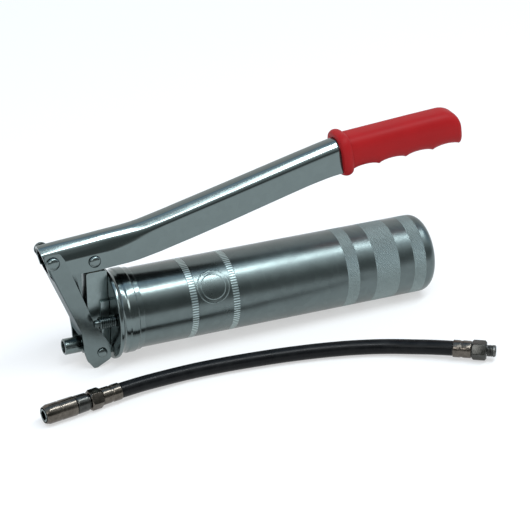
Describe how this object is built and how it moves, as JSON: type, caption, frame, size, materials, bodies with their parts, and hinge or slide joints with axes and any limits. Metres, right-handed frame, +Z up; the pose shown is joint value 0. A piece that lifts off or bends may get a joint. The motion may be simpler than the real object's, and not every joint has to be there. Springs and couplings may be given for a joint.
{
  "type": "lever grease gun with flexible hose",
  "caption": "Hand lever grease gun: zinc-plated barrel and pump head, red grip, and a loose flexible hose with a nipple coupler.",
  "frame": {"origin": "On the ground, below the centre of the gun's bounding box; the gun stands on the two lower ears of its link and on the rear edge of its barrel. The loose hose is left out of this box.", "axes": "+X from the pump head towards the barrel's rear end and the grip, +Z up, +Y completes a right-handed frame; Y = 0 is the gun's middle plane. The barrel slopes down 1.3 degrees towards +X, because the ears stand lower than the barrel."},
  "size_m": [0.3435, 0.1586, 0.1373],
  "materials": {
    "zinc_barrel": "zinc plated, satin, with knurled bands",
    "zinc_head": "zinc plated, satin",
    "zinc_lever": "zinc plated, bright",
    "cast_block": "zinc plated over a machined casting",
    "steel_pin": "zinc plated",
    "bright_rod": "ground and polished",
    "spring_steel": "oiled spring wire",
    "brass_seat": "turned",
    "nickel_fitting": "nickel plated, turned",
    "hose_rubber": "smooth, glossy",
    "seal_rubber": "matte",
    "red_grip": "satin soft plastic"
  },
  "bodies": {
    "gun": {"head_cap": "zinc_head", "head_gasket": "seal_rubber", "spigot_nut": "steel_pin", "pump_block": "cast_block", "plunger_gland": "brass_seat", "outlet_nozzle": "zinc_head", "valve_retainer": "brass_seat", "valve_spring": "spring_steel", "lower_pin": "steel_pin"},
    "barrel": {"barrel_tube": "zinc_barrel", "rod_bush": "brass_seat", "follower_spring": "spring_steel"},
    "valve": {"valve_ball": "steel_pin"},
    "bleeder": {"bleeder_screw": "steel_pin"},
    "follower": {"follower_rod": "bright_rod", "rod_nut": "steel_pin", "front_plate": "zinc_head", "follower_cup": "seal_rubber", "back_plate": "zinc_head", "rod_knob": "bright_rod"},
    "link": {"link_plate": "zinc_lever", "upper_pin": "steel_pin"},
    "lever": {"lever_channel": "zinc_lever", "grip": "red_grip", "drive_pin": "steel_pin"},
    "plunger": {"plunger": "bright_rod"},
    "hose": {"hose_tube": "hose_rubber", "ferrule_front": "nickel_fitting", "hose_nut_front": "nickel_fitting", "coupler_body": "nickel_fitting", "coupler_sleeve": "nickel_fitting", "coupler_seal": "seal_rubber", "coupler_jaw_1": "steel_pin", "coupler_jaw_2": "steel_pin", "coupler_jaw_3": "steel_pin", "coupler_jaw_4": "steel_pin", "ferrule_rear": "nickel_fitting", "hose_nut_rear": "nickel_fitting", "thread_stub": "nickel_fitting"}
  },
  "joints": [
    {"name": "lever_swing", "type": "hinge", "parent": "link", "child": "lever", "pos_m": [-0.15266, 0, 0.08572], "axis": [0, -1, 0], "range_deg": [0, 50]},
    {"name": "link_swing", "type": "hinge", "parent": "gun", "child": "link", "pos_m": [-0.12194, 0, 0.011], "axis": [0, 1, 0], "range_deg": [0, 4.3]},
    {"name": "plunger_lift", "type": "slide", "parent": "gun", "child": "plunger", "axis": [0.0227, 0, 0.9997], "range_m": [0, 0.0256]},
    {"name": "follower_slide", "type": "slide", "parent": "barrel", "child": "follower", "axis": [0.9997, 0, -0.0227], "range_m": [0, 0.18], "stiffness_N_per_m": 150, "springref_m": -0.06, "deforming": ["follower_spring"]},
    {"name": "valve_lift", "type": "slide", "parent": "gun", "child": "valve", "axis": [-0.9997, 0, 0.0227], "range_m": [0, 0.001], "stiffness_N_per_m": 300, "springref_m": -0.002, "deforming": ["valve_spring"]},
    {"name": "bleeder_turn", "type": "hinge", "parent": "gun", "child": "bleeder", "pos_m": [-0.11406, -0.0185, 0.03663], "axis": [-0.9997, 0, 0.0227], "range_deg": [0, 180]},
    {"name": "barrel_turn", "type": "hinge", "parent": "gun", "child": "barrel", "pos_m": [-0.10803, 0, 0.03349], "axis": [0.9997, 0, -0.0227], "range_deg": [0, 360]},
    {"name": "hose_lift", "type": "slide", "parent": "gun", "child": "hose", "axis": [0, 0, 1], "range_m": [0, 0.05]}
  ],
  "couplings": [
    {"joint": "link_swing", "follows": "lever_swing", "ratio": 0.084},
    {"joint": "plunger_lift", "follows": "lever_swing", "m_per_rad": 0.02905}
  ]
}
